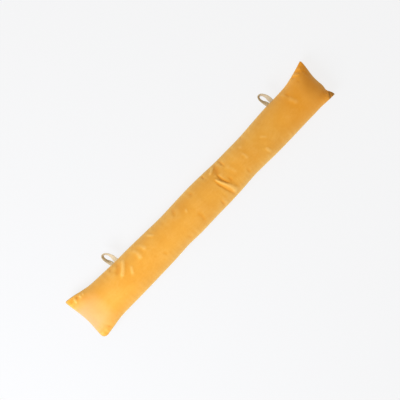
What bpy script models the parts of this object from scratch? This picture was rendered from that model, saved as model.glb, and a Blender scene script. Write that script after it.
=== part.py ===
"""Draught excluder: a filled velvet tube cushion with two tape loops sewn into one long seam.

Metres, +Z up. The cushion lies on its back on the plane z = 0. +X runs along it and +Y points
to the seam that holds the loops. The origin is the middle of the flat underside.
"""

from collections import namedtuple
from math import cos, exp, hypot, pi, radians, sin, sqrt

import bmesh
import bpy
from mathutils import Vector

# Cushion
HALF_LENGTH = 0.448
SEAM_MEETING_ANGLE = radians(64)  # each panel leaves the seam this steeply
END_REACH = 0.052  # length over which an end rises from its seam to the full crown
LEFT_END_PULL = 0.005  # how far the middle of the left end seam is drawn in
RIGHT_END_PULL = 0.007
PULL_REACH = 0.060
PANEL_COLUMNS = 10  # across one panel, before subdivision
SEWING_REACH = 1e-6  # the panels' edges are one where they are this close
SEAM_FLAT = 0.010  # folds of a panel fade out over this height above the seam

# Sections: the seam's two sides, its height off the floor, the crown above it and the belly below it.
# The belly is the depth the underside would have in the air: the floor flattens it.
Section = namedtuple("Section", "x loop_side far_side seam crown belly")
SECTIONS = (
    Section(-0.448, 0.0765, 0.0650, 0.0270, 0.0345, 0.037),
    Section(-0.425, 0.0730, 0.0628, 0.0280, 0.0355, 0.039),
    Section(-0.400, 0.0668, 0.0600, 0.0290, 0.0365, 0.041),
    Section(-0.372, 0.0612, 0.0568, 0.0300, 0.0380, 0.042),
    Section(-0.335, 0.0587, 0.0563, 0.0305, 0.0390, 0.043),
    Section(-0.285, 0.0562, 0.0567, 0.0310, 0.0385, 0.043),
    Section(-0.225, 0.0550, 0.0563, 0.0310, 0.0395, 0.043),
    Section(-0.165, 0.0527, 0.0556, 0.0315, 0.0400, 0.043),
    Section(-0.110, 0.0508, 0.0535, 0.0310, 0.0405, 0.043),
    Section(-0.060, 0.0518, 0.0553, 0.0310, 0.0400, 0.043),
    Section(0.000, 0.0525, 0.0545, 0.0310, 0.0395, 0.043),
    Section(0.050, 0.0507, 0.0548, 0.0305, 0.0385, 0.043),
    Section(0.095, 0.0484, 0.0536, 0.0305, 0.0385, 0.043),
    Section(0.145, 0.0480, 0.0508, 0.0310, 0.0400, 0.043),
    Section(0.185, 0.0478, 0.0516, 0.0310, 0.0405, 0.043),
    Section(0.235, 0.0503, 0.0532, 0.0310, 0.0400, 0.043),
    Section(0.290, 0.0530, 0.0531, 0.0310, 0.0390, 0.043),
    Section(0.340, 0.0532, 0.0525, 0.0305, 0.0385, 0.042),
    Section(0.372, 0.0547, 0.0525, 0.0300, 0.0375, 0.041),
    Section(0.400, 0.0602, 0.0522, 0.0290, 0.0360, 0.040),
    Section(0.425, 0.0660, 0.0538, 0.0280, 0.0345, 0.038),
    Section(0.448, 0.0725, 0.0545, 0.0265, 0.0330, 0.036),
)

# Rows of the two panels: closer together at the ends and at the folds near the middle.
Run = namedtuple("Run", "start end steps")
RUNS = (
    Run(-HALF_LENGTH, -0.392, 7),
    Run(-0.392, 0.036, 13),
    Run(0.036, 0.108, 10),
    Run(0.108, 0.392, 8),
    Run(0.392, HALF_LENGTH, 8),
)
# The rows lean with the folds near the middle, so that the folds run along them.
LEAN_MIDDLE = 0.070
LEAN_REACH = 0.120
LEAN = 0.019  # along X, from the middle of a row to its far end

# Folds of the upper panel: soft ridges (height above 0) and troughs along straight lines.
Fold = namedtuple("Fold", "name start end height width")
FOLDS = (
    Fold("middle ridge", (0.060, 0.010), (0.080, -0.050), 0.0040, 0.0065),
    Fold("trough left of the ridge", (0.049, 0.008), (0.068, -0.050), -0.0035, 0.0065),
    Fold("trough right of the ridge", (0.066, 0.026), (0.084, -0.024), -0.0045, 0.0065),
    Fold("fold below the left loop", (-0.279, 0.046), (-0.300, 0.016), -0.0025, 0.0090),
    Fold("tucked ear at the right far corner", (0.441, -0.036), (0.428, -0.053), -0.0060, 0.0045),
)
FOLD_FADE = 0.008  # a fold runs out over this length at each end

# Tape loops
SEWN_GAP = 0.0009  # between the seam and the tape
TAPE_WIDTH = 0.0125
TAPE_THICKNESS = 0.0012
TAPE_STEPS = 36
TAPE_RISE = 0.003  # the bend stands this much above the seam
TANGENT_STEP = 0.01  # shares of the tape's length
SQUARE_END = 0.10
Loop = namedtuple("Loop", "name x reach spread")
LOOPS = (
    Loop("tape_loop_left", -0.2821, 0.0371, 1.0),
    Loop("tape_loop_right", 0.3101, 0.0358, 0.94),
)
# The middle of the tape, from one sewn end round the bend to the other: across the loop (times its
# spread), out from the seam as a share of its reach, and how far it is turned from flat to on edge.
Stop = namedtuple("Stop", "across out turn")
TAPE_ROUTE = (
    Stop(-0.0074, 0.00, radians(5)),
    Stop(-0.0088, 0.22, radians(27)),
    Stop(-0.0110, 0.48, radians(56)),
    Stop(-0.0117, 0.72, radians(64)),
    Stop(-0.0098, 0.90, radians(67)),
    Stop(-0.0050, 0.94, radians(67)),
    Stop(0.0000, 0.865, radians(66)),
    Stop(0.0050, 0.66, radians(60)),
    Stop(0.0068, 0.42, radians(33)),
    Stop(0.0075, 0.18, radians(10)),
    Stop(0.0076, 0.00, radians(5)),
)


def between_rows(rows, position, place, value):
    """A smooth curve through value(row) against place(row), read at position."""
    places = [place(row) for row in rows]
    values = [value(row) for row in rows]
    last = len(rows) - 1
    position = min(max(position, places[0]), places[last])
    index = max(i for i in range(last) if places[i] <= position)

    def slope(i):
        before = max(i - 1, 0)
        after = min(i + 1, last)
        return (values[after] - values[before]) / (places[after] - places[before])

    span = places[index + 1] - places[index]
    t = (position - places[index]) / span
    start = values[index] * (2 * t**3 - 3 * t**2 + 1)
    end = values[index + 1] * (3 * t**2 - 2 * t**3)
    leaving = slope(index) * span * (t**3 - 2 * t**2 + t)
    arriving = slope(index + 1) * span * (t**3 - t**2)
    return start + end + leaving + arriving


def section_at(x):
    """The cushion's section at x."""
    found = {}
    for column in Section._fields[1:]:
        found[column] = between_rows(
            SECTIONS, x, lambda row: row.x, lambda row: getattr(row, column)
        )
    return Section(x=x, **found)


def lens(share):
    """Height of a circular arc over its chord: 1 in the middle, 0 at share = -1 and 1."""
    radius = 1 / sin(SEAM_MEETING_ANGLE)
    drop = radius * cos(SEAM_MEETING_ANGLE)
    return (sqrt(radius**2 - min(abs(share), 1) ** 2) - drop) / (radius - drop)


def end_swell(x):
    """Share of the full crown at x: an end rises from its seam as one half of a lens."""
    inside = HALF_LENGTH - abs(x)
    return lens(1 - min(inside / END_REACH, 1))


def end_pull(x, share):
    """How far along X a point is drawn in from the straight line between two corners."""
    depth = LEFT_END_PULL if x < 0 else RIGHT_END_PULL
    nearness = max(1 - (HALF_LENGTH - abs(x)) / PULL_REACH, 0)
    drawn = depth * (1 - share**2) * nearness
    return drawn if x < 0 else -drawn


def seam_point(x, share):
    """A point in the surface of the seam, share -1 on the far side and 1 on the loops' side."""
    section = section_at(x)
    middle = (section.loop_side - section.far_side) / 2
    half = (section.loop_side + section.far_side) / 2
    return Vector((x + end_pull(x, share), middle + half * share, section.seam))


def panel_point(x, share, upper):
    """A point of the upper or the lower panel. The floor flattens the lower one."""
    section = section_at(x)
    point = seam_point(x, share)
    full = lens(share) * end_swell(x)
    if upper:
        point.z += section.crown * full
    else:
        point.z = max(point.z - section.belly * full, 0)
    return point


def fold_height(x, y):
    """What the folds add to the upper panel's height at x, y."""
    total = 0
    for fold in FOLDS:
        ax, ay = fold.start
        bx, by = fold.end
        length = hypot(bx - ax, by - ay)
        along = ((x - ax) * (bx - ax) + (y - ay) * (by - ay)) / length
        across = ((x - ax) * (by - ay) - (y - ay) * (bx - ax)) / length
        past = max(-along, along - length, 0)
        fade = exp(-((past / FOLD_FADE) ** 2))
        total += fold.height * fade * exp(-((across / fold.width) ** 2))
    return total


def leaned(x, share):
    """The x of a point of the row at x: rows near the middle folds lean with them."""
    nearness = max(1 - abs(x - LEAN_MIDDLE) / LEAN_REACH, 0)
    return x - LEAN * share * nearness


def row_places():
    """The x of every row of the panels."""
    places = [RUNS[0].start]
    for run in RUNS:
        step = (run.end - run.start) / run.steps
        places += [run.start + step * (i + 1) for i in range(run.steps)]
    return places


def add_panel(bm, rows, upper, is_upper):
    """One velvet panel: a grid, each vertex moved to its place on the panel."""
    steps = len(rows) - 1
    made = bmesh.ops.create_grid(bm, x_segments=steps, y_segments=PANEL_COLUMNS, size=1)
    for vertex in made["verts"]:
        row = round((vertex.co.x + 1) / 2 * steps)
        share = sin(vertex.co.y * pi / 2)  # columns draw together towards the seams
        vertex.co = panel_point(leaned(rows[row], share), share, upper)
    faces = list({face for vertex in made["verts"] for face in vertex.link_faces})
    for face in faces:
        face[is_upper] = int(upper)
    if not upper:
        bmesh.ops.reverse_faces(bm, faces=faces)


def make_cushion(collection, velvet):
    """Two panels sewn round their edges, smoothed, then creased with the main folds."""
    rows = row_places()
    bm = bmesh.new()
    is_upper = bm.faces.layers.int.new("is_upper")
    crease = bm.edges.layers.float.new("crease_edge")
    add_panel(bm, rows, True, is_upper)
    add_panel(bm, rows, False, is_upper)
    bmesh.ops.remove_doubles(bm, verts=bm.verts, dist=SEWING_REACH)
    for edge in bm.edges:
        panels = {face[is_upper] for face in edge.link_faces}
        edge[crease] = len(panels) - 1  # 1 along the seam, where the two panels meet
    cage = bpy.data.meshes.new("velvet_cushion_cage")
    bm.to_mesh(cage)
    bm.free()

    cushion = bpy.data.objects.new("velvet_cushion", cage)
    collection.objects.link(cushion)
    smooth = cushion.modifiers.new("Smooth panels", "SUBSURF")
    smooth.levels = 1
    smooth.render_levels = 1
    bpy.context.view_layer.update()
    evaluated = cushion.evaluated_get(bpy.context.evaluated_depsgraph_get())
    mesh = bpy.data.meshes.new_from_object(evaluated)
    cushion.modifiers.clear()
    cushion.data = mesh
    bpy.data.meshes.remove(cage)
    mesh.name = "velvet_cushion"
    mesh.update()
    for vertex in mesh.vertices:
        above_seam = vertex.co.z - section_at(vertex.co.x).seam
        if above_seam > 0:
            fade = min(above_seam / SEAM_FLAT, 1)
            vertex.co.z += fold_height(vertex.co.x, vertex.co.y) * fade
    mesh.materials.append(velvet)
    mesh.shade_smooth()
    return cushion


def make_tape_loop(loop, collection, tape):
    """A strip of tape, swept along its route and turned on edge at the bend."""
    seam_y = section_at(loop.x).loop_side
    seam_z = section_at(loop.x).seam
    count = len(TAPE_ROUTE) - 1

    def read(step, value):
        stops = list(enumerate(TAPE_ROUTE))
        return between_rows(stops, step * count, lambda s: s[0], lambda s: value(s[1]))

    def middle(step):
        x = loop.x + loop.spread * read(step, lambda stop: stop.across)
        out = read(step, lambda stop: stop.out)
        edge = section_at(x).loop_side - seam_y
        return Vector((x, seam_y + edge * (1 - out) + SEWN_GAP + out * loop.reach, seam_z))

    bm = bmesh.new()
    made = bmesh.ops.create_grid(bm, x_segments=TAPE_STEPS, y_segments=2, size=1)
    for vertex in made["verts"]:
        step = (vertex.co.x + 1) / 2
        across = vertex.co.y * TAPE_WIDTH / 2
        ahead = middle(min(step + TANGENT_STEP, 1)) - middle(max(step - TANGENT_STEP, 0))
        outward = Vector((-ahead.y, ahead.x, 0)).normalized()
        square = max(1 - min(step, 1 - step) / SQUARE_END, 0)  # the sewn ends are cut square
        side = Vector((1 if step > 0.5 else -1, 0, 0))
        outward = outward.lerp(side, square).normalized()
        turn = read(step, lambda stop: stop.turn)
        place = middle(step) + Vector((0, 0, TAPE_RISE * sin(pi * step)))
        vertex.co = place + across * (cos(turn) * outward + sin(turn) * Vector((0, 0, 1)))
    mesh = bpy.data.meshes.new(loop.name)
    bm.to_mesh(mesh)
    bm.free()
    mesh.materials.append(tape)
    mesh.shade_smooth()
    strip = bpy.data.objects.new(loop.name, mesh)
    collection.objects.link(strip)
    thick = strip.modifiers.new("Tape thickness", "SOLIDIFY")
    thick.thickness = TAPE_THICKNESS
    thick.offset = 0
    thick.use_even_offset = True
    return strip


def make_material(name, colour, roughness):
    """A plain cloth finish."""
    material = bpy.data.materials.new(name)
    material.use_nodes = True
    shader = material.node_tree.nodes["Principled BSDF"]
    shader.inputs["Base Color"].default_value = (*colour, 1)
    shader.inputs["Roughness"].default_value = roughness
    shader.inputs["Metallic"].default_value = 0
    return material


def main():
    for item in list(bpy.data.objects):
        bpy.data.objects.remove(item, do_unlink=True)
    collection = bpy.data.collections.new("draught_excluder")
    bpy.context.scene.collection.children.link(collection)
    velvet = make_material("mustard_velvet", (0.85, 0.41, 0.07), 0.85)
    tape = make_material("cream_tape", (0.70, 0.53, 0.28), 0.90)
    make_cushion(collection, velvet)
    for loop in LOOPS:
        make_tape_loop(loop, collection, tape)


main()
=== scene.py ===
"""Draught excluder: the finished look of a velvet tube cushion with two herringbone tape loops.

Metres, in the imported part's own frame: +X along the cushion, +Y to the seam with the loops, +Z up.
The cushion is two velvet panels sewn round their edges. A cloth simulation presses them out, then
the folds are pressed in. The loops are strips of woven tape whose ends are caught in the seam.
"""

from collections import namedtuple
from math import cos, pi, radians, sin, sqrt

import bmesh
import bpy
import numpy as np
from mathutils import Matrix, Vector, noise
from mathutils.kdtree import KDTree


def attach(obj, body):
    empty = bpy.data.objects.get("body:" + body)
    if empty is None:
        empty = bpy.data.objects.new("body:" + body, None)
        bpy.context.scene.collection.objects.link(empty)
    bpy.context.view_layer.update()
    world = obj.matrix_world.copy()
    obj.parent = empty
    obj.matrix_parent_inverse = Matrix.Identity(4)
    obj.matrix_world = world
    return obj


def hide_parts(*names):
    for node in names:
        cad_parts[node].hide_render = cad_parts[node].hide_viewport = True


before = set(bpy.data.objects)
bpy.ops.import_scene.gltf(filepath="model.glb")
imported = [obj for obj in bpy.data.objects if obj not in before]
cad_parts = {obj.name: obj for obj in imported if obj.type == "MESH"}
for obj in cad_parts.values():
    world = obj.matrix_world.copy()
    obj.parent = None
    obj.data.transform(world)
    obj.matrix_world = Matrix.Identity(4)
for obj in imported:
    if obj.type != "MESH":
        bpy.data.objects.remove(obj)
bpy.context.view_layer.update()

BODY = "root"

# Cushion: the sewn outline and the filled height
HALF_LENGTH = 0.448
SEAM_MEETING_ANGLE = radians(64)  # each panel leaves the seam this steeply
END_REACH = 0.085  # length over which an end rises from its seam to the full crown
END_ROUNDNESS = 3.6
LEFT_END_LEAN = 0.026  # the left end's seam is not quite square to the cushion
LEFT_END_PULL = 0.005  # how far the middle of the left end seam is drawn in
RIGHT_END_PULL = 0.007
PULL_REACH = 0.060
PULL_ROUNDNESS = 2.4
FAR_LEFT_CORNER_RADIUS = 0.0125  # the seam turns round this corner bluntly
CORNER_RADIUS = 0.0030
TUCKED_CORNER_RADIUS = 0.0010
PILE_HEIGHT = 0.0008  # the pile stands out from the woven ground

# Sections: the seam's two sides, its height off the floor, the crown above it and the belly below it.
Section = namedtuple("Section", "x loop_side far_side seam crown belly")
SECTIONS = (
    Section(-0.448, 0.0765, 0.0650, 0.0270, 0.0345, 0.037),
    Section(-0.425, 0.0730, 0.0628, 0.0280, 0.0355, 0.039),
    Section(-0.400, 0.0668, 0.0600, 0.0290, 0.0365, 0.041),
    Section(-0.372, 0.0612, 0.0568, 0.0300, 0.0380, 0.042),
    Section(-0.335, 0.0587, 0.0563, 0.0305, 0.0390, 0.043),
    Section(-0.285, 0.0562, 0.0567, 0.0310, 0.0385, 0.043),
    Section(-0.225, 0.0550, 0.0563, 0.0310, 0.0395, 0.043),
    Section(-0.165, 0.0527, 0.0556, 0.0315, 0.0400, 0.043),
    Section(-0.110, 0.0508, 0.0535, 0.0310, 0.0405, 0.043),
    Section(-0.060, 0.0518, 0.0553, 0.0310, 0.0400, 0.043),
    Section(0.000, 0.0525, 0.0545, 0.0310, 0.0395, 0.043),
    Section(0.050, 0.0507, 0.0548, 0.0305, 0.0385, 0.043),
    Section(0.095, 0.0484, 0.0536, 0.0305, 0.0385, 0.043),
    Section(0.145, 0.0480, 0.0508, 0.0310, 0.0400, 0.043),
    Section(0.185, 0.0478, 0.0516, 0.0310, 0.0405, 0.043),
    Section(0.235, 0.0503, 0.0532, 0.0310, 0.0400, 0.043),
    Section(0.290, 0.0530, 0.0531, 0.0310, 0.0390, 0.043),
    Section(0.340, 0.0532, 0.0525, 0.0305, 0.0385, 0.042),
    Section(0.372, 0.0547, 0.0525, 0.0300, 0.0375, 0.041),
    Section(0.400, 0.0602, 0.0522, 0.0290, 0.0360, 0.040),
    Section(0.425, 0.0660, 0.0538, 0.0280, 0.0345, 0.038),
    Section(0.448, 0.0725, 0.0545, 0.0265, 0.0330, 0.036),
)

# Panels: rows draw together at the ends and at the folds near the middle, columns at the seams.
PANEL_ROWS = 240
ROW_SAMPLES = 4001  # places along the length at which the crowding is added up
PANEL_COLUMNS = 40
COLUMN_CROWDING = 0.75
END_CROWDING = 1.6
END_CROWDING_REACH = 0.030
MIDDLE_CROWDING = 0.8
MIDDLE_CROWDING_REACH = 0.050
LEAN_MIDDLE = 0.070  # rows near the middle lean with the folds there
LEAN_REACH = 0.120
LEAN = 0.019
SEWING_REACH = 1e-6
LEAST_LENGTH = 1e-6

# Seam: the two panels turn in to it, and the velvet is gathered where it is sewn.
SEAM_TUCK = 0.0003  # the stitches draw the seam in this far between the panels
GATHER_HEIGHT = 0.00028
GATHER_PEAK = 0.0065  # from the seam
GATHER_SHORTEST = 0.009
GATHER_LONGEST = 0.022
GATHER_WAVES = 6
GATHER_GROUP_SHORTEST = 0.05
GATHER_GROUP_LONGEST = 0.15
GATHER_GROUP_WAVES = 3
GATHER_EVEN = 0.6  # the share of a gather's height that is alike all along, the rest comes in groups
GATHER_SEED = 4

# Filling: the cloth simulation, and the lumps that loose fibre leaves
PRESSURE = 6.0
CLOTH_MASS = 0.0005
CLOTH_STRETCH = 15
CLOTH_SHEAR = 6
CLOTH_BENDING = 0.01
CLOTH_QUALITY = 6
CLOTH_DAMPING = 3.0
SIMULATION_FRAMES = 20
MOST_MOVED = 0.006
LUMP_HEIGHT = 0.0009
LUMP_LENGTH = 0.045
LUMP_FADE = 0.012  # lumps and folds run out over this height above the seam

# Folds of the upper panel along routes given as x, y: ridges above 0, troughs below. Spread is how
# much wider the fold is at its end than at its start, as a share of its width.
Fold = namedtuple("Fold", "name height width spread route")
FOLDS = (
    # across the middle
    Fold("middle trough", -0.0016, 0.0034, 0.6,
         ((0.0580, 0.008), (0.0600, -0.004), (0.0640, -0.019), (0.0700, -0.038), (0.0725, -0.051))),
    Fold("middle ridge", 0.0030, 0.0064, 1.3,
         ((0.0620, 0.017), (0.0680, 0.000), (0.0745, -0.014), (0.0800, -0.030), (0.0830, -0.048))),
    Fold("hollow above the middle ridge", -0.0021, 0.0080, -0.3,
         ((0.0870, 0.042), (0.0810, 0.030), (0.0750, 0.019))),
    Fold("trough beside the middle ridge", -0.0018, 0.0027, 0.3,
         ((0.0740, 0.024), (0.0735, 0.011), (0.0745, 0.000), (0.0790, -0.011), (0.0825, -0.018))),
    Fold("dimple beside the middle", -0.0010, 0.0038, 0,
         ((0.0905, -0.003), (0.0915, -0.013), (0.0870, -0.019))),
    Fold("ridge at the loops' seam", 0.0024, 0.0034, 0,
         ((0.0590, 0.0355), (0.0710, 0.0385), (0.0810, 0.0440))),
    Fold("gather left of the middle", -0.0022, 0.0030, 0, ((0.0425, 0.052), (0.0440, 0.035))),
    Fold("gather right of the middle", -0.0020, 0.0028, 0,
         ((0.1030, 0.045), (0.1036, 0.034), (0.1050, 0.024))),
    Fold("swell right of the middle", 0.0006, 0.0075, 0,
         ((0.1070, 0.024), (0.1125, 0.004), (0.1180, -0.015))),
    Fold("far gather", -0.0014, 0.0032, 0, ((0.0335, -0.032), (0.0310, -0.052))),
    Fold("far gather under the trough", -0.0012, 0.0030, 0, ((0.0560, -0.042), (0.0560, -0.054))),
    # between the left loop and the middle
    Fold("crease", 0.0015, 0.0036, 0, ((-0.1700, 0.045), (-0.1550, 0.030))),
    Fold("soft ridge", 0.0011, 0.0065, 0, ((-0.2240, 0.046), (-0.2200, 0.030), (-0.2220, 0.008))),
    Fold("soft ridge", 0.0009, 0.0065, 0, ((-0.2070, 0.047), (-0.1990, 0.033), (-0.1960, 0.018))),
    Fold("soft trough", -0.0010, 0.0050, 0, ((-0.0700, 0.047), (-0.0780, 0.034), (-0.0840, 0.025))),
    Fold("short ridge", 0.0006, 0.0042, 0, ((-0.0465, 0.023), (-0.0530, 0.006))),
    Fold("short trough", -0.0006, 0.0045, 0,
         ((-0.0340, -0.010), (-0.0305, -0.024), (-0.0340, -0.042))),
    Fold("dimple", -0.0013, 0.0036, 0, ((-0.0125, 0.041), (-0.0075, 0.030))),
    Fold("far gather", -0.0010, 0.0034, 0, ((-0.0955, -0.033), (-0.0890, -0.050))),
    Fold("far crease", -0.0007, 0.0036, 0, ((-0.1730, -0.018), (-0.1640, -0.029))),
    # between the middle and the right loop
    Fold("short ridge", 0.0006, 0.0040, 0, ((0.1670, 0.036), (0.1710, 0.021))),
    Fold("short ridge", 0.0004, 0.0040, 0, ((0.1595, 0.019), (0.1625, 0.004), (0.1610, -0.011))),
    Fold("crease", 0.0005, 0.0038, 0, ((0.2230, 0.013), (0.2385, -0.007))),
    Fold("far trough", -0.0010, 0.0040, 0, ((0.1420, -0.023), (0.1390, -0.039))),
    Fold("far ridge", 0.0009, 0.0050, 0, ((0.2135, -0.019), (0.2190, -0.042))),
    # below the left loop
    Fold("trough below the left loop", -0.0014, 0.0064, 0,
         ((-0.2750, 0.050), (-0.2860, 0.037), (-0.3010, 0.028))),
    Fold("ridge below the left loop", 0.0019, 0.0050, 0,
         ((-0.2580, 0.047), (-0.2680, 0.035), (-0.2800, 0.024), (-0.2930, 0.014))),
    Fold("second ridge below the left loop", 0.0007, 0.0045, 0,
         ((-0.2535, 0.021), (-0.2610, 0.009), (-0.2690, -0.003))),
    Fold("gather beside the left loop", -0.0011, 0.0030, 0, ((-0.3070, 0.044), (-0.3010, 0.054))),
    # left end
    Fold("corner hollow", -0.0030, 0.0062, 0, ((-0.4400, 0.0700), (-0.4330, 0.0600))),
    Fold("corner ridge", 0.0020, 0.0034, 0, ((-0.4250, 0.0700), (-0.4270, 0.0590), (-0.4300, 0.0500))),
    Fold("corner gather", -0.0023, 0.0036, 0, ((-0.4170, 0.0690), (-0.4180, 0.0560))),
    Fold("corner ridge", 0.0019, 0.0032, 0, ((-0.4080, 0.0660), (-0.4090, 0.0530))),
    Fold("corner ridge", 0.0015, 0.0034, 0, ((-0.3980, 0.0630), (-0.4010, 0.0540))),
    Fold("far corner gather", -0.0014, 0.0036, 0, ((-0.4150, -0.044), (-0.4090, -0.060))),
    # right end
    Fold("crease by the right end", -0.0019, 0.0028, 0,
         ((0.3460, 0.046), (0.3535, 0.036), (0.3600, 0.028))),
    Fold("ridge by the right end", 0.0021, 0.0042, 0,
         ((0.3420, 0.0480), (0.3490, 0.0410), (0.3550, 0.0340))),
    Fold("soft ridge by the right end", 0.0009, 0.0070, 0,
         ((0.3480, 0.028), (0.3550, 0.014), (0.3590, -0.002))),
    Fold("corner gather", -0.0026, 0.0028, 0, ((0.3970, 0.0600), (0.4050, 0.0490))),
    Fold("corner ridge", 0.0025, 0.0030, 0, ((0.4040, 0.0650), (0.4100, 0.0560), (0.4190, 0.0500))),
    Fold("corner gather", -0.0026, 0.0026, 0, ((0.4140, 0.0670), (0.4195, 0.0565))),
    Fold("corner ridge", 0.0027, 0.0032, 0, ((0.4220, 0.0690), (0.4290, 0.0600), (0.4370, 0.0560))),
    Fold("corner gather", -0.0019, 0.0028, 0, ((0.4340, 0.0530), (0.4310, 0.0400), (0.4290, 0.0300))),
    Fold("corner dimple", -0.0010, 0.0032, 0, ((0.3980, 0.0430), (0.4060, 0.0340))),
    Fold("tucked corner", -0.0075, 0.0040, 0, ((0.4430, -0.037), (0.4375, -0.046), (0.4300, -0.055))),
)
FOLD_FADE = 0.013  # a fold runs out over this length at each end
FOLD_AT_END = 0.25  # and starts from this share of its height
RIDGE_SHARPNESS = 2.0
TROUGH_SHARPNESS = 1.5
TUCKED_CORNER_Y = -0.031  # the right end's seam is drawn in beside its tucked corner
TUCKED_CORNER_PULL = 0.0058
TUCKED_CORNER_REACH = 0.0115
# painted shade is laid along this crease of the tucked corner
TUCK_CREASE = ((0.4415, -0.0395), (0.4370, -0.0470), (0.4305, -0.0550))
TUCK_CREASE_WIDTH = 0.0024
TUCK_SHADE_PLACE = (0.4465, -0.0505)  # painted shade over the turned-under velvet of the tucked corner
TUCK_SHADE_REACH = 0.0098
TUCK_SHADE = 0.85

# Marks from which the velvet's colour paints highlight and shade
RELIEF_STEPS = 24  # how often the surface is smoothed to find what stands above it
RELIEF_FULL = 0.0005  # a ridge this much above its surroundings gets the full painted highlight
RELIEF_DEEPEST = 4.0
SEAM_SHADE_REACH = 0.0024

# Tape loops
TAPE_WIDTH = 0.0125
TAPE_THICKNESS = 0.0011
TAPE_ALONG = 120
TAPE_ACROSS = 10
TAPE_RISE = 0.003  # the bend stands this much above the seam
TAPE_TANGENT_STEP = 0.01  # shares of the tape's length
TAPE_SQUARE_END = 0.10
TAPE_CAUGHT = 0.0030  # the ends reach this far into the tucked seam
Loop = namedtuple("Loop", "name x reach spread")
LOOPS = (
    Loop("tape_loop_left", -0.2821, 0.0371, 1.0),
    Loop("tape_loop_right", 0.3101, 0.0358, 0.94),
)
# The middle of the tape from one sewn end round the bend to the other: across the loop (times its
# spread), out from the seam as a share of its reach, how far it is turned from flat to on edge, and
# how much its inner edge is turned further than its middle.
Stop = namedtuple("Stop", "across out turn cup")
TAPE_ROUTE = (
    Stop(-0.0066, 0.00, radians(4), radians(4)),
    Stop(-0.0080, 0.20, radians(16), radians(14)),
    Stop(-0.0105, 0.48, radians(44), radians(38)),
    Stop(-0.0115, 0.72, radians(55), radians(38)),
    Stop(-0.0098, 0.90, radians(62), radians(26)),
    Stop(-0.0050, 0.94, radians(67), radians(12)),
    Stop(0.0000, 0.865, radians(66), radians(8)),
    Stop(0.0047, 0.66, radians(58), radians(10)),
    Stop(0.0068, 0.42, radians(33), radians(12)),
    Stop(0.0070, 0.18, radians(10), radians(8)),
    Stop(0.0067, 0.00, radians(4), radians(4)),
)
TAPE_BEVEL = TAPE_THICKNESS * 0.3
TAPE_BEVEL_SEGMENTS = 2

# Fibre grain: the coarser noise against the finer one
COARSE_FIBRE_SCALE = 0.27
COARSE_FIBRE_HEIGHT = 0.7

# Velvet: colours, linear, and how far each is mixed in
VELVET_DEEP = (0.76, 0.335, 0.034, 1)
VELVET_PALE = (0.84, 0.405, 0.050, 1)
VELVET_WARM = (0.82, 0.350, 0.036, 1)
VELVET_RIDGE_HIGHLIGHT = (0.94, 0.54, 0.13, 1)
VELVET_RECESS_SHADE = (0.74, 0.255, 0.008, 1)
VELVET_SEAM_SHADE = (0.38, 0.18, 0.045, 1)
VELVET_LEFT_END_SHEEN = (0.80, 0.350, 0.200, 1)
VELVET_RIGHT_END_SHADE = (0.92, 0.318, 0.003, 1)
VELVET_DARKEST_SHADE = (0.24, 0.10, 0.018, 1)
BRUSHED_PATCHES = (16.0, 2.6, 2.0)  # scale, contrast and detail of soft patches
MOTTLED_PATCHES = (95.0, 2.0, 3.0)
PILE_SCALE = 1400.0
PILE_STRETCH = 0.6
MOTTLED_SHARE = 0.35
RIDGE_HIGHLIGHT_SHARE = 0.7
CREASE_SHADE_SHARE = 0.6
DEEP_TROUGH_FROM = -1.6
DEEP_TROUGH_SHADE_SHARE = 0.3
TUCK_SHADE_SHARE = 0.9
BETWEEN_FIBRES = (0.65, 1.05)  # heights of the pile over which its shade runs out
BETWEEN_FIBRES_SHARE = 0.22
SEAM_SHADE_SHARE = 0.75
LEFT_END_SHEEN_FROM = -0.365  # painted light and sheen: paler towards the left end, nearest the lamp
LEFT_END_SHEEN_SHARE = 0.65
RIGHT_END_SHADE_FROM = 0.250  # painted shade: deeper, with less sheen, towards the right end, away from the lamp
RIGHT_END_SHADE_SHARE = 0.75
END_SHADE_FROM = 0.424
END_SHADE_FULL = 0.442
END_SHADE_SHARE = 0.4
MIDDLE_OF_END = 0.025  # from the cushion's middle line
CORNER_OF_END = 0.058
VELVET_ROUGHNESS = (0.92, 0.78)  # where the pile is even and where it is brushed
MOTTLED_HEIGHT = 1.5
VELVET_BUMP = 0.45
VELVET_BUMP_HEIGHT = 0.00035
VELVET_SPECULAR = 0.15
VELVET_SHEEN = (1, 0.84, 0.36, 1)

# Tape: colours, linear, and its herringbone weave
WEAVE_PITCH = 0.00095
TAPE_LIGHT = (0.66, 0.54, 0.34, 1)
TAPE_SHADE = (0.53, 0.41, 0.23, 1)
TAPE_WARM = (0.64, 0.49, 0.30, 1)
TAPE_PATCHES = (220.0, 2.0, 2.0)
FUZZ_SCALE = 2200.0
THREAD_SHADE = 0.18
WARM_SHARE = 0.25
TAPE_ROUGHNESS = (0.85, 0.96)
THREAD_HEIGHT = 0.4
FUZZ_HEIGHT = 0.3
TAPE_BUMP = 0.7
TAPE_BUMP_HEIGHT = 0.0002
TAPE_SPECULAR = 0.2
TAPE_SHEEN_WEIGHT = 0.15

# Floor and light
FLOOR_HALF_WIDTH = 14.0
FLOOR_DROP = 0.0005  # keeps the floor clear of the flattened underside
FLOOR_GREY = (0.10, 0.10, 0.10, 1)
FLOOR_GLOW = 0.82
WINDOW_PLACE = (-1.5, -0.2, 1.3)
WINDOW_SIZE = 1.2
WINDOW_WATTS = 36
WINDOW_LIGHT = (0.91, 0.985, 1.15)
WINDOW_SIDE = (0.70, 0.75, 1.00, 1)
ROOM_SIDE = (0.45, 0.355, 0.11, 1)
BACKDROP = (0.90, 0.90, 0.90, 1)  # what the camera sees beyond the floor

# Camera
CAMERA_CENTRE = (-0.0045, 0.0076)
CAMERA_TURN = radians(-46.0)
FRAME_WIDTH = 1.0648  # what the camera sees at the seam's height
LENS_MM = 100.0
SENSOR_MM = 36.0
SEAM_HEIGHT = 0.031


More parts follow.
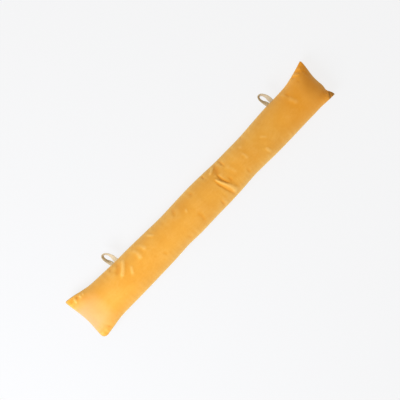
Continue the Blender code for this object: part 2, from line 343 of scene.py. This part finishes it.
def smooth_curve(places, values, position):
    """A smooth curve through values against places, read at every position."""
    places = np.asarray(places, float)
    values = np.asarray(values, float)
    last = len(places) - 1
    before = np.maximum(np.arange(last + 1) - 1, 0)
    after = np.minimum(np.arange(last + 1) + 1, last)
    slopes = (values[after] - values[before]) / (places[after] - places[before])
    position = np.clip(position, places[0], places[last])
    index = np.clip(np.searchsorted(places, position, side="right") - 1, 0, last - 1)
    span = places[index + 1] - places[index]
    t = (position - places[index]) / span
    start = values[index] * (2 * t**3 - 3 * t**2 + 1)
    end = values[index + 1] * (3 * t**2 - 2 * t**3)
    leaving = slopes[index] * span * (t**3 - 2 * t**2 + t)
    arriving = slopes[index + 1] * span * (t**3 - t**2)
    return start + end + leaving + arriving


def section_at(x):
    """The cushion's sections at every x."""
    places = [row.x for row in SECTIONS]
    columns = {}
    for column in Section._fields[1:]:
        values = [getattr(row, column) for row in SECTIONS]
        columns[column] = smooth_curve(places, values, x)
    return Section(x=x, **columns)


def lens(share):
    """Height of a circular arc over its chord: 1 in the middle, 0 at share = -1 and 1."""
    radius = 1 / sin(SEAM_MEETING_ANGLE)
    drop = radius * cos(SEAM_MEETING_ANGLE)
    return (np.sqrt(radius**2 - np.minimum(np.abs(share), 1) ** 2) - drop) / (radius - drop)


def panel_points(x, share, upper):
    """Points of the upper or the lower panel, share -1 on the far seam and 1 on the loops' seam."""
    section = section_at(x)
    inside = HALF_LENGTH - np.abs(x)
    middle = (section.loop_side - section.far_side) / 2
    half = (section.loop_side + section.far_side) / 2
    y = middle + half * share
    depth = np.where(x < 0, LEFT_END_PULL, -RIGHT_END_PULL) * (1 - share**2) ** PULL_ROUNDNESS
    beside_tuck = np.exp(-(((y - TUCKED_CORNER_Y) / TUCKED_CORNER_REACH) ** 2))
    depth -= np.where(x < 0, 0, TUCKED_CORNER_PULL * beside_tuck)
    far_radius = np.where(x < 0, FAR_LEFT_CORNER_RADIUS, TUCKED_CORNER_RADIUS)
    for radius, from_side in ((far_radius, half * (1 + share)), (CORNER_RADIUS, half * (1 - share))):
        within = np.maximum(radius - from_side, 0)
        depth += np.where(x < 0, 1, -1) * (radius - np.sqrt(np.maximum(radius**2 - within**2, 0)))
    depth -= np.where(x < 0, LEFT_END_LEAN * y, 0)
    drawn = depth * np.maximum(1 - inside / PULL_REACH, 0)
    swell = lens(share) * (1 - np.maximum(1 - inside / END_REACH, 0) ** END_ROUNDNESS)
    height = np.where(upper, section.crown, -section.belly) * swell
    return np.stack((x + drawn, y, section.seam + height), axis=-1)


def row_places():
    """The x of every row of the panels."""
    x = np.linspace(-HALF_LENGTH, HALF_LENGTH, ROW_SAMPLES)
    near_end = (HALF_LENGTH - np.abs(x)) / END_CROWDING_REACH
    near_middle = (x - LEAN_MIDDLE) / MIDDLE_CROWDING_REACH
    crowding = 1 + END_CROWDING * np.exp(-near_end**2) + MIDDLE_CROWDING * np.exp(-near_middle**2)
    passed = np.concatenate(([0], np.cumsum((crowding[1:] + crowding[:-1]) / 2)))
    return np.interp(np.linspace(0, passed[-1], PANEL_ROWS + 1), passed, x)


def read_points(mesh):
    """The mesh's vertices as rows of x, y, z."""
    points = np.empty(len(mesh.vertices) * 3)
    mesh.vertices.foreach_get("co", points)
    return points.reshape(-1, 3)


def write_points(mesh, points):
    mesh.vertices.foreach_set("co", points.ravel())
    mesh.update()


def make_panels():
    """Two velvet panels, each a grid moved to its place, sewn to each other round their edges."""
    places = row_places()
    bm = bmesh.new()
    is_upper = bm.faces.layers.int.new("is_upper")
    crease = bm.edges.layers.float.new("crease_edge")
    for upper in (True, False):
        made = bmesh.ops.create_grid(bm, x_segments=PANEL_ROWS, y_segments=PANEL_COLUMNS, size=1)
        flat = np.array([vertex.co for vertex in made["verts"]])
        row = np.rint((flat[:, 0] + 1) / 2 * PANEL_ROWS).astype(int)
        share = flat[:, 1]
        share = (1 - COLUMN_CROWDING) * share + COLUMN_CROWDING * np.sin(share * pi / 2)
        x = places[row]
        x = x - LEAN * share * np.maximum(1 - np.abs(x - LEAN_MIDDLE) / LEAN_REACH, 0)
        points = panel_points(x, share, upper)
        for vertex, point in zip(made["verts"], points):
            vertex.co = point
        faces = list({face for vertex in made["verts"] for face in vertex.link_faces})
        for face in faces:
            face[is_upper] = int(upper)
            face.smooth = True
        if not upper:
            bmesh.ops.reverse_faces(bm, faces=faces)
    bmesh.ops.remove_doubles(bm, verts=bm.verts, dist=SEWING_REACH)
    for edge in bm.edges:
        panels = {face[is_upper] for face in edge.link_faces}
        edge[crease] = len(panels) - 1  # 1 along the seam
    bm.verts.index_update()
    bm.normal_update()
    sewn = [v for v in bm.verts if any(edge[crease] > 0 for edge in v.link_edges)]
    for vertex in sewn:
        outward = Vector((vertex.normal.x, vertex.normal.y, 0)).normalized()
        vertex.co -= outward * SEAM_TUCK
    sewn = [vertex.index for vertex in sewn]
    mesh = bpy.data.meshes.new("velvet_cushion_cover")
    bm.to_mesh(mesh)
    bm.free()
    cushion = bpy.data.objects.new("velvet_cushion_cover", mesh)
    bpy.context.scene.collection.objects.link(cushion)
    return cushion, sewn


def seam_distances(points):
    """Each point's distance, seen from above, from the loops' seam, the far seam and the nearer end."""
    section = section_at(points[:, 0])
    from_loops = np.maximum(section.loop_side - points[:, 1], 0)
    from_far = np.maximum(section.far_side + points[:, 1], 0)
    from_end = np.maximum(HALF_LENGTH - np.abs(points[:, 0]), 0)
    return from_loops, from_far, from_end


def mixed_waves(rng, run, count, shortest, longest):
    """Uneven waves along a run: count sines of chance lengths and starts, about 1 high."""
    total = np.zeros(len(run))
    for _ in range(count):
        length = rng.uniform(shortest, longest)
        total += np.sin(2 * pi * (run / length + rng.uniform()))
    return total / sqrt(count)


def gather_seams(mesh, sewn):
    """The velvet is a little longer than its seam: small uneven gathers stand up beside it."""
    rng = np.random.default_rng(GATHER_SEED)
    points = read_points(mesh)
    normals = np.array([vertex.normal for vertex in mesh.vertices])
    upper = points[:, 2] >= section_at(points[:, 0]).seam
    from_loops, from_far, from_end = seam_distances(points)
    height = np.zeros(len(points))
    for distance, run in ((from_loops, points[:, 0]), (from_far, points[:, 0]),
                          (from_end, points[:, 1] + np.sign(points[:, 0]))):
        for panel in (upper, ~upper):
            lift = distance / GATHER_PEAK
            group = mixed_waves(rng, run, GATHER_GROUP_WAVES, GATHER_GROUP_SHORTEST, GATHER_GROUP_LONGEST)
            waves = mixed_waves(rng, run, GATHER_WAVES, GATHER_SHORTEST, GATHER_LONGEST)
            height += panel * lift * np.exp(1 - lift) * (GATHER_EVEN + (1 - GATHER_EVEN) * group) * waves
    height[sewn] = 0
    corner = np.minimum(np.minimum(from_loops, from_far) + from_end, GATHER_PEAK) / GATHER_PEAK
    height *= corner * GATHER_HEIGHT
    write_points(mesh, points + normals * height[:, None])


def fill_with_fibre(cushion, sewn):
    """Cloth simulation: the filling presses the panels out while the seam stays where it is sewn."""
    mesh = cushion.data
    start = read_points(mesh)
    seam = cushion.vertex_groups.new(name="sewn")
    seam.add(sewn, 1.0, "REPLACE")
    cloth = cushion.modifiers.new("Filling", "CLOTH")
    settings = cloth.settings
    settings.quality = CLOTH_QUALITY
    settings.mass = CLOTH_MASS
    settings.air_damping = CLOTH_DAMPING
    settings.tension_stiffness = CLOTH_STRETCH
    settings.compression_stiffness = CLOTH_STRETCH
    settings.shear_stiffness = CLOTH_SHEAR
    settings.bending_stiffness = CLOTH_BENDING
    settings.use_pressure = True
    settings.uniform_pressure_force = PRESSURE
    settings.effector_weights.gravity = 0
    settings.vertex_group_mass = "sewn"
    cloth.collision_settings.use_collision = False
    cloth.point_cache.frame_start = 1
    cloth.point_cache.frame_end = SIMULATION_FRAMES
    scene = bpy.context.scene
    for number in range(1, SIMULATION_FRAMES + 1):
        scene.frame_set(number)
    evaluated = cushion.evaluated_get(bpy.context.evaluated_depsgraph_get())
    pressed = read_points(evaluated.data)
    cushion.modifiers.remove(cloth)
    cushion.vertex_groups.clear()
    scene.frame_set(1)
    moved = pressed - start
    length = np.linalg.norm(moved, axis=1)
    capped = np.minimum(length, MOST_MOVED) / np.maximum(length, LEAST_LENGTH)
    write_points(mesh, start + moved * capped[:, None])


def to_fine_mesh(cushion):
    """One level of subdivision, applied."""
    smooth = cushion.modifiers.new("Smooth panels", "SUBSURF")
    smooth.levels = 1
    smooth.render_levels = 1
    bpy.context.view_layer.update()
    evaluated = cushion.evaluated_get(bpy.context.evaluated_depsgraph_get())
    cage = cushion.data
    cushion.data = bpy.data.meshes.new_from_object(evaluated)
    cushion.modifiers.clear()
    bpy.data.meshes.remove(cage)
    cushion.data.name = cushion.name


def along_route(points, route):
    """For every point the distance from a route of straight lines and the share of the route passed."""
    route = np.asarray(route, float)
    lengths = np.linalg.norm(route[1:] - route[:-1], axis=1)
    passed = np.concatenate(([0], np.cumsum(lengths)))
    nearest = np.full(len(points), np.inf)
    place = np.zeros(len(points))
    for i, length in enumerate(lengths):
        direction = (route[i + 1] - route[i]) / length
        along = np.clip((points - route[i]) @ direction, 0, length)
        distance = np.linalg.norm(points - route[i] - along[:, None] * direction, axis=1)
        closer = distance < nearest
        nearest[closer] = distance[closer]
        place[closer] = passed[i] + along[closer]
    return nearest, place, passed[-1]


def press_folds(cushion):
    """The folds and the lumps of the filling, pressed into the upper panel."""
    mesh = cushion.data
    points = read_points(mesh)
    above = points[:, 2] - section_at(points[:, 0]).seam
    fade = np.clip(above / LUMP_FADE, 0, 1)
    added = np.zeros(len(points))
    for fold in FOLDS:
        distance, place, length = along_route(points[:, :2], fold.route)
        run_out = np.clip(np.minimum(place, length - place) / FOLD_FADE + FOLD_AT_END, 0, 1)
        run_out = run_out * run_out * (3 - 2 * run_out)
        width = fold.width * (1 + fold.spread * (place / length - 0.5))
        sharpness = RIDGE_SHARPNESS if fold.height > 0 else TROUGH_SHARPNESS
        added += fold.height * run_out * np.exp(-((distance / width) ** sharpness))
    lumps = np.array([noise.noise(Vector(point) / LUMP_LENGTH) for point in points])
    points[:, 2] += (added + LUMP_HEIGHT * lumps) * fade
    write_points(mesh, points)


def rest_on_floor(cushion):
    """The pile stands out by its height, and the floor flattens the underside."""
    points = read_points(cushion.data)
    normals = np.array([vertex.normal for vertex in cushion.data.vertices])
    points += normals * PILE_HEIGHT
    points[:, 2] = np.maximum(points[:, 2], 0)
    write_points(cushion.data, points)


def mark_surface(cushion):
    """Attributes from which the velvet paints highlight and shade.

    relief: 1 on ridges, 0 on even ground and below -1 in deep troughs
    tucked_corner_shade: painted shade, 1 in the tucked corner's crease, nearly as dark over its
    turned-under part
    seam: 1 at the seam, where painted shade is laid
    """
    mesh = cushion.data
    points = read_points(mesh)
    edges = np.empty(len(mesh.edges) * 2, int)
    mesh.edges.foreach_get("vertices", edges)
    first, second = edges.reshape(-1, 2).T
    count = np.bincount(edges, minlength=len(points))[:, None]
    smoothed = points.copy()
    for _ in range(RELIEF_STEPS):
        total = np.zeros_like(points)
        np.add.at(total, first, smoothed[second])
        np.add.at(total, second, smoothed[first])
        smoothed = total / count
    normals = np.array([vertex.normal for vertex in mesh.vertices])
    height = np.einsum("ij,ij->i", points - smoothed, normals)
    height -= np.median(height)
    relief = mesh.attributes.new("relief", "FLOAT", "POINT")
    height = np.clip(height / RELIEF_FULL, -RELIEF_DEEPEST, 1)
    relief.data.foreach_set("value", height.astype(np.float32))
    from_tuck = np.linalg.norm(points[:, :2] - TUCK_SHADE_PLACE, axis=1)
    from_crease = along_route(points[:, :2], TUCK_CREASE)[0]
    shade = np.maximum(np.exp(-((from_crease / TUCK_CREASE_WIDTH) ** 2)),
                       TUCK_SHADE * np.exp(-((from_tuck / TUCK_SHADE_REACH) ** 4)))
    tucked_corner_shade = mesh.attributes.new("tucked_corner_shade", "FLOAT", "POINT")
    tucked_corner_shade.data.foreach_set("value", shade.astype(np.float32))
    creases = mesh.attributes["crease_edge"]
    hard = np.empty(len(mesh.edges))
    creases.data.foreach_get("value", hard)
    seam_points = points[np.unique(np.concatenate((first[hard > 0.5], second[hard > 0.5])))]
    tree = KDTree(len(seam_points))
    for index, point in enumerate(seam_points):
        tree.insert(point, index)
    tree.balance()
    near = np.array([tree.find(point)[2] for point in points])
    seam = mesh.attributes.new("seam", "FLOAT", "POINT")
    seam.data.foreach_set("value", np.exp(-((near / SEAM_SHADE_REACH) ** 2)).astype(np.float32))


def make_cushion(velvet):
    cushion, sewn = make_panels()
    gather_seams(cushion.data, sewn)
    fill_with_fibre(cushion, sewn)
    to_fine_mesh(cushion)
    rest_on_floor(cushion)
    press_folds(cushion)
    mark_surface(cushion)
    cushion.data.materials.append(velvet)
    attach(cushion, BODY)
    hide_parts("velvet_cushion")
    return cushion


def read_route(column, step):
    """A column of the tape's route at a share of its length."""
    stops = range(len(TAPE_ROUTE))
    values = [getattr(stop, column) for stop in TAPE_ROUTE]
    return smooth_curve(stops, values, np.asarray(step) * (len(TAPE_ROUTE) - 1))


def tape_middle(loop, step):
    """Points of the tape's middle line."""
    seam = section_at(np.asarray(loop.x))
    x = loop.x + loop.spread * read_route("across", step)
    out = read_route("out", step)
    edge = section_at(x).loop_side - seam.loop_side
    y = seam.loop_side + edge * (1 - out) - TAPE_CAUGHT + out * (loop.reach + TAPE_CAUGHT)
    rise = TAPE_RISE * np.sin(pi * np.asarray(step))
    return np.stack((x, y, seam.seam + rise + TAPE_THICKNESS / 2 * (1 - out)), axis=-1)


def tape_points(loop, step, across):
    """Points of the tape at shares of its length and, from -1 at the inner edge to 1, of its width."""
    ahead = tape_middle(loop, np.minimum(step + TAPE_TANGENT_STEP, 1))
    ahead = ahead - tape_middle(loop, np.maximum(step - TAPE_TANGENT_STEP, 0))
    outward = np.stack((-ahead[:, 1], ahead[:, 0]), axis=-1)
    outward /= np.linalg.norm(outward, axis=1)[:, None]
    square = np.maximum(1 - np.minimum(step, 1 - step) / TAPE_SQUARE_END, 0)[:, None]
    side = np.stack((np.where(step > 0.5, 1.0, -1.0), np.zeros(len(step))), axis=-1)
    outward = outward * (1 - square) + side * square
    outward /= np.linalg.norm(outward, axis=1)[:, None]
    turn = read_route("turn", step)
    cup = read_route("cup", step)
    # the width's arc: its direction turns from turn + cup at the inner edge to turn - cup at the outer
    flat = (np.sin(turn) - np.sin(turn - cup * across)) / cup
    rise = (np.cos(turn - cup * across) - np.cos(turn)) / cup
    points = tape_middle(loop, step)
    points[:, :2] += outward * (flat * TAPE_WIDTH / 2)[:, None]
    points[:, 2] += rise * TAPE_WIDTH / 2
    return points


def make_tape_loop(loop, tape):
    """A strip of tape, swept along its route, turned on edge at the bend and cupped."""
    bm = bmesh.new()
    uv = bm.loops.layers.uv.new("Tape")
    made = bmesh.ops.create_grid(bm, x_segments=TAPE_ALONG, y_segments=TAPE_ACROSS, size=1)
    flat = np.array([vertex.co for vertex in made["verts"]])
    step = (flat[:, 0] + 1) / 2
    middle = tape_middle(loop, np.linspace(0, 1, TAPE_ALONG + 1))
    length = float(np.linalg.norm(middle[1:] - middle[:-1], axis=1).sum())
    for face in bm.faces:
        face.smooth = True
        for corner in face.loops:
            place = corner.vert.co
            corner[uv].uv = (place.y * TAPE_WIDTH / 2, (place.x + 1) / 2 * length)
    for vertex, point in zip(made["verts"], tape_points(loop, step, flat[:, 1])):
        vertex.co = point
    mesh = bpy.data.meshes.new(loop.name + "_woven")
    bm.to_mesh(mesh)
    bm.free()
    mesh.materials.append(tape)
    strip = bpy.data.objects.new(loop.name + "_woven", mesh)
    bpy.context.scene.collection.objects.link(strip)
    thick = strip.modifiers.new("Tape thickness", "SOLIDIFY")
    thick.thickness = TAPE_THICKNESS
    thick.offset = 0
    soft = strip.modifiers.new("Soft edges", "BEVEL")
    soft.width = TAPE_BEVEL
    soft.segments = TAPE_BEVEL_SEGMENTS
    soft.limit_method = "ANGLE"
    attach(strip, BODY)
    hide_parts(loop.name)


def new_group(name, inputs, outputs):
    """A node group with named inputs and outputs, and its input and output nodes."""
    group = bpy.data.node_groups.new(name, "ShaderNodeTree")
    for label, kind, value in inputs:
        socket = group.interface.new_socket(name=label, in_out="INPUT", socket_type=kind)
        if value is not None:
            socket.default_value = value
    for label, kind in outputs:
        group.interface.new_socket(name=label, in_out="OUTPUT", socket_type=kind)
    return group, group.nodes.new("NodeGroupInput"), group.nodes.new("NodeGroupOutput")


def add_node(tree, kind, **settings):
    """A node with its properties and, by name or number, its inputs' values or links."""
    node = tree.nodes.new(kind)
    inputs = settings.pop("inputs", {})
    for key, value in settings.items():
        setattr(node, key, value)
    for key, value in inputs.items():
        if isinstance(value, bpy.types.NodeSocket):
            tree.links.new(value, node.inputs[key])
        else:
            node.inputs[key].default_value = value
    return node


def calculate(tree, operation, *values):
    """A Math node; its result socket."""
    node = add_node(tree, "ShaderNodeMath", operation=operation, inputs=dict(enumerate(values)))
    return node.outputs[0]


def soft_patches_group():
    """Soft uneven patches, 0 to 1: where cloth is brushed, worn or dyed unevenly."""
    group, start, end = new_group(
        "Soft patches",
        [("Vector", "NodeSocketVector", None), ("Scale", "NodeSocketFloat", 20.0),
         ("Contrast", "NodeSocketFloat", 2.0), ("Detail", "NodeSocketFloat", 3.0)],
        [("Mask", "NodeSocketFloat")],
    )
    texture = add_node(group, "ShaderNodeTexNoise", inputs={
        "Vector": start.outputs["Vector"], "Scale": start.outputs["Scale"],
        "Detail": start.outputs["Detail"], "Roughness": 0.5, "Distortion": 0.4})
    centred = calculate(group, "SUBTRACT", texture.outputs["Fac"], 0.5)
    scaled = add_node(group, "ShaderNodeMath", operation="MULTIPLY_ADD", use_clamp=True,
                      inputs={0: centred, 1: start.outputs["Contrast"], 2: 0.5})
    group.links.new(scaled.outputs[0], end.inputs["Mask"])
    return group


def fibre_grain_group():
    """Fine fibre ends: a height from two sizes of noise, drawn out along the fibres."""
    group, start, end = new_group(
        "Fibre grain",
        [("Vector", "NodeSocketVector", None), ("Scale", "NodeSocketFloat", 1500.0),
         ("Stretch", "NodeSocketFloat", 0.5)],
        [("Height", "NodeSocketFloat")],
    )
    drawn = add_node(group, "ShaderNodeCombineXYZ", inputs={
        "X": start.outputs["Stretch"], "Y": 1.0, "Z": 1.0})
    along = add_node(group, "ShaderNodeVectorMath", operation="MULTIPLY", inputs={
        0: start.outputs["Vector"], 1: drawn.outputs[0]})
    fine = add_node(group, "ShaderNodeTexNoise", inputs={
        "Vector": along.outputs[0], "Scale": start.outputs["Scale"], "Detail": 2.0})
    coarse_scale = calculate(group, "MULTIPLY", start.outputs["Scale"], COARSE_FIBRE_SCALE)
    coarse = add_node(group, "ShaderNodeTexNoise", inputs={
        "Vector": along.outputs[0], "Scale": coarse_scale, "Detail": 2.0})
    both = calculate(group, "MULTIPLY_ADD", coarse.outputs["Fac"], COARSE_FIBRE_HEIGHT,
                     fine.outputs["Fac"])
    group.links.new(both, end.inputs["Height"])
    return group


def mix_colours(tree, share, first, second):
    """A Mix node for colours; its result socket."""
    node = add_node(tree, "ShaderNodeMix", data_type="RGBA")
    for socket, value in ((node.inputs[0], share), (node.inputs[6], first), (node.inputs[7], second)):
        if isinstance(value, bpy.types.NodeSocket):
            tree.links.new(value, socket)
        else:
            socket.default_value = value
    return node.outputs[2]


def read_range(tree, value, low, high, to_low=0.0, to_high=1.0):
    """A Map Range node; its result socket."""
    node = add_node(tree, "ShaderNodeMapRange", inputs={
        "Value": value, "From Min": low, "From Max": high, "To Min": to_low, "To Max": to_high})
    return node.outputs["Result"]


def add_patches(tree, group, place, values):
    """Soft patches with their scale, contrast and detail; the mask's socket."""
    scale, contrast, detail = values
    node = add_node(tree, "ShaderNodeGroup", node_tree=group, inputs={
        "Vector": place, "Scale": scale, "Contrast": contrast, "Detail": detail})
    return node.outputs["Mask"]


def make_velvet(patches, grain):
    """Cotton velvet: short pile, brushed patches, painted highlight on ridges and painted shade in
    creases.
    """
    material = bpy.data.materials.new("mustard_velvet")
    material.use_nodes = True
    tree = material.node_tree
    shader = tree.nodes["Principled BSDF"]
    place = add_node(tree, "ShaderNodeTexCoord").outputs["Object"]
    brushed = add_patches(tree, patches, place, BRUSHED_PATCHES)
    mottled = add_patches(tree, patches, place, MOTTLED_PATCHES)
    pile = add_node(tree, "ShaderNodeGroup", node_tree=grain, inputs={
        "Vector": place, "Scale": PILE_SCALE, "Stretch": PILE_STRETCH}).outputs["Height"]
    relief = add_node(tree, "ShaderNodeAttribute", attribute_name="relief").outputs["Fac"]
    seam = add_node(tree, "ShaderNodeAttribute", attribute_name="seam").outputs["Fac"]
    tucked_corner_shade = add_node(tree, "ShaderNodeAttribute", attribute_name="tucked_corner_shade").outputs["Fac"]

    colour = mix_colours(tree, brushed, VELVET_DEEP, VELVET_PALE)
    share = read_range(tree, mottled, 0, 1, 0, MOTTLED_SHARE)
    colour = mix_colours(tree, share, colour, VELVET_WARM)
    # painted highlight: ridges paler the more they stand above their surroundings
    share = read_range(tree, relief, 0, 1, 0, RIDGE_HIGHLIGHT_SHARE)
    colour = mix_colours(tree, share, colour, VELVET_RIDGE_HIGHLIGHT)
    # painted shade: creases darker the deeper they sink below their surroundings
    share = read_range(tree, relief, 0, -1, 0, CREASE_SHADE_SHARE)
    colour = mix_colours(tree, share, colour, VELVET_RECESS_SHADE)
    # painted shade: the deepest troughs darkest
    share = read_range(tree, relief, DEEP_TROUGH_FROM, -RELIEF_DEEPEST, 0, DEEP_TROUGH_SHADE_SHARE)
    colour = mix_colours(tree, share, colour, VELVET_DARKEST_SHADE)
    # painted shade between the fibres, where the pile's grain is low
    share = read_range(tree, pile, *BETWEEN_FIBRES, BETWEEN_FIBRES_SHARE, 0)
    colour = mix_colours(tree, share, colour, VELVET_RECESS_SHADE)
    # painted shade along the seam
    share = read_range(tree, seam, 0, 1, 0, SEAM_SHADE_SHARE)
    colour = mix_colours(tree, share, colour, VELVET_SEAM_SHADE)

    parts = add_node(tree, "ShaderNodeSeparateXYZ", inputs={"Vector": place})
    along = parts.outputs["X"]
    out = calculate(tree, "ABSOLUTE", parts.outputs["Y"])
    inward = read_range(tree, out, CORNER_OF_END, MIDDLE_OF_END)
    # painted light and sheen towards the left end, strongest along its middle
    share = read_range(tree, along, LEFT_END_SHEEN_FROM, -HALF_LENGTH, 0, LEFT_END_SHEEN_SHARE)
    colour = mix_colours(tree, calculate(tree, "MULTIPLY", share, inward), colour, VELVET_LEFT_END_SHEEN)
    # painted shade towards the right end
    share = read_range(tree, along, RIGHT_END_SHADE_FROM, HALF_LENGTH, 0, RIGHT_END_SHADE_SHARE)
    colour = mix_colours(tree, share, colour, VELVET_RIGHT_END_SHADE)
    # painted shade beside the right end's seam, which faces away from the lamp
    share = read_range(tree, along, END_SHADE_FROM, END_SHADE_FULL, 0, END_SHADE_SHARE)
    colour = mix_colours(tree, calculate(tree, "MULTIPLY", share, inward), colour, VELVET_SEAM_SHADE)
    # painted shade over the tucked corner and its crease
    share = read_range(tree, tucked_corner_shade, 0, 1, 0, TUCK_SHADE_SHARE)
    colour = mix_colours(tree, share, colour, VELVET_DARKEST_SHADE)
    tree.links.new(colour, shader.inputs["Base Color"])
    rough = read_range(tree, brushed, 0, 1, *VELVET_ROUGHNESS)
    tree.links.new(rough, shader.inputs["Roughness"])

    height = calculate(tree, "MULTIPLY_ADD", mottled, MOTTLED_HEIGHT, pile)
    bump = add_node(tree, "ShaderNodeBump", inputs={
        "Strength": VELVET_BUMP, "Distance": VELVET_BUMP_HEIGHT, "Height": height})
    tree.links.new(bump.outputs["Normal"], shader.inputs["Normal"])
    shader.inputs["Specular IOR Level"].default_value = VELVET_SPECULAR
    shader.inputs["Sheen Weight"].default_value = 1.0
    shader.inputs["Sheen Roughness"].default_value = 0.5
    shader.inputs["Sheen Tint"].default_value = VELVET_SHEEN
    return material


def make_tape(patches, grain):
    """Cream cotton tape in herringbone twill, its colour and bump along its own length and width."""
    material = bpy.data.materials.new("cream_herringbone_tape")
    material.use_nodes = True
    tree = material.node_tree
    shader = tree.nodes["Principled BSDF"]
    uv = add_node(tree, "ShaderNodeUVMap", uv_map="Tape").outputs["UV"]
    place = add_node(tree, "ShaderNodeTexCoord").outputs["Object"]
    parts = add_node(tree, "ShaderNodeSeparateXYZ", inputs={"Vector": uv})
    # the twill leans one way and then the other in bands across the tape
    band = calculate(tree, "PINGPONG", parts.outputs["X"], TAPE_WIDTH / 4)
    lean = calculate(tree, "ADD", band, parts.outputs["Y"])
    turns = calculate(tree, "MULTIPLY", lean, 2 * pi / WEAVE_PITCH)
    ribs = read_range(tree, calculate(tree, "SINE", turns), -1, 1)
    threads = calculate(tree, "MULTIPLY", parts.outputs["X"], 2 * pi / (WEAVE_PITCH / 2))
    threads = read_range(tree, calculate(tree, "SINE", threads), -1, 1)
    fuzz = add_node(tree, "ShaderNodeGroup", node_tree=grain, inputs={
        "Vector": place, "Scale": FUZZ_SCALE, "Stretch": 1.0}).outputs["Height"]
    uneven = add_patches(tree, patches, place, TAPE_PATCHES)

    colour = mix_colours(tree, ribs, TAPE_SHADE, TAPE_LIGHT)
    colour = mix_colours(tree, read_range(tree, threads, 0, 1, THREAD_SHADE, 0), colour, TAPE_SHADE)
    colour = mix_colours(tree, read_range(tree, uneven, 0, 1, 0, WARM_SHARE), colour, TAPE_WARM)
    tree.links.new(colour, shader.inputs["Base Color"])
    rough = read_range(tree, uneven, 0, 1, *TAPE_ROUGHNESS)
    tree.links.new(rough, shader.inputs["Roughness"])
    height = calculate(tree, "MULTIPLY_ADD", threads, THREAD_HEIGHT, ribs)
    height = calculate(tree, "MULTIPLY_ADD", fuzz, FUZZ_HEIGHT, height)
    bump = add_node(tree, "ShaderNodeBump", inputs={
        "Strength": TAPE_BUMP, "Distance": TAPE_BUMP_HEIGHT, "Height": height})
    tree.links.new(bump.outputs["Normal"], shader.inputs["Normal"])
    shader.inputs["Specular IOR Level"].default_value = TAPE_SPECULAR
    shader.inputs["Sheen Weight"].default_value = TAPE_SHEEN_WEIGHT
    shader.inputs["Sheen Roughness"].default_value = 0.5
    return material


def make_floor():
    bm = bmesh.new()
    bmesh.ops.create_grid(bm, x_segments=1, y_segments=1, size=FLOOR_HALF_WIDTH)
    bmesh.ops.translate(bm, vec=(0, 0, -FLOOR_DROP), verts=bm.verts)
    mesh = bpy.data.meshes.new("studio_floor")
    bm.to_mesh(mesh)
    bm.free()
    floor = bpy.data.objects.new("studio_floor", mesh)
    bpy.context.scene.collection.objects.link(floor)
    material = bpy.data.materials.new("pale_floor")
    material.use_nodes = True
    shader = material.node_tree.nodes["Principled BSDF"]
    shader.inputs["Base Color"].default_value = FLOOR_GREY
    shader.inputs["Roughness"].default_value = 1
    shader.inputs["Specular IOR Level"].default_value = 0
    shader.inputs["Emission Color"].default_value = (1, 1, 1, 1)
    shader.inputs["Emission Strength"].default_value = FLOOR_GLOW
    mesh.materials.append(material)


def light_studio():
    world = bpy.data.worlds.new("soft_studio")
    world.use_nodes = True
    tree = world.node_tree
    background = tree.nodes["Background"]
    direction = add_node(tree, "ShaderNodeTexCoord").outputs["Generated"]
    parts = add_node(tree, "ShaderNodeSeparateXYZ", inputs={"Vector": direction})
    share = read_range(tree, parts.outputs["X"], -1, 1)
    around = mix_colours(tree, share, WINDOW_SIDE, ROOM_SIDE)
    seen = add_node(tree, "ShaderNodeLightPath").outputs["Is Camera Ray"]
    tree.links.new(mix_colours(tree, seen, around, BACKDROP), background.inputs["Color"])
    bpy.context.scene.world = world
    light = bpy.data.lights.new("window_light", "AREA")
    light.shape = "DISK"
    light.size = WINDOW_SIZE
    light.energy = WINDOW_WATTS
    light.color = WINDOW_LIGHT
    lamp = bpy.data.objects.new("window_light", light)
    lamp.location = WINDOW_PLACE
    lamp.rotation_euler = (-Vector(WINDOW_PLACE)).to_track_quat("-Z", "Y").to_euler()
    bpy.context.scene.collection.objects.link(lamp)
    bpy.context.scene.view_settings.view_transform = "Standard"


def aim_camera():
    data = bpy.data.cameras.new("camera")
    data.lens = LENS_MM
    data.sensor_width = SENSOR_MM
    camera = bpy.data.objects.new("camera", data)
    distance = FRAME_WIDTH * LENS_MM / SENSOR_MM
    camera.location = (*CAMERA_CENTRE, SEAM_HEIGHT + distance)
    camera.rotation_euler = (0, 0, CAMERA_TURN)
    bpy.context.scene.collection.objects.link(camera)
    bpy.context.scene.camera = camera


aim_camera()
light_studio()
make_floor()
soft_patches = soft_patches_group()
fibre_grain = fibre_grain_group()
make_cushion(make_velvet(soft_patches, fibre_grain))
tape = make_tape(soft_patches, fibre_grain)
for loop in LOOPS:
    make_tape_loop(loop, tape)
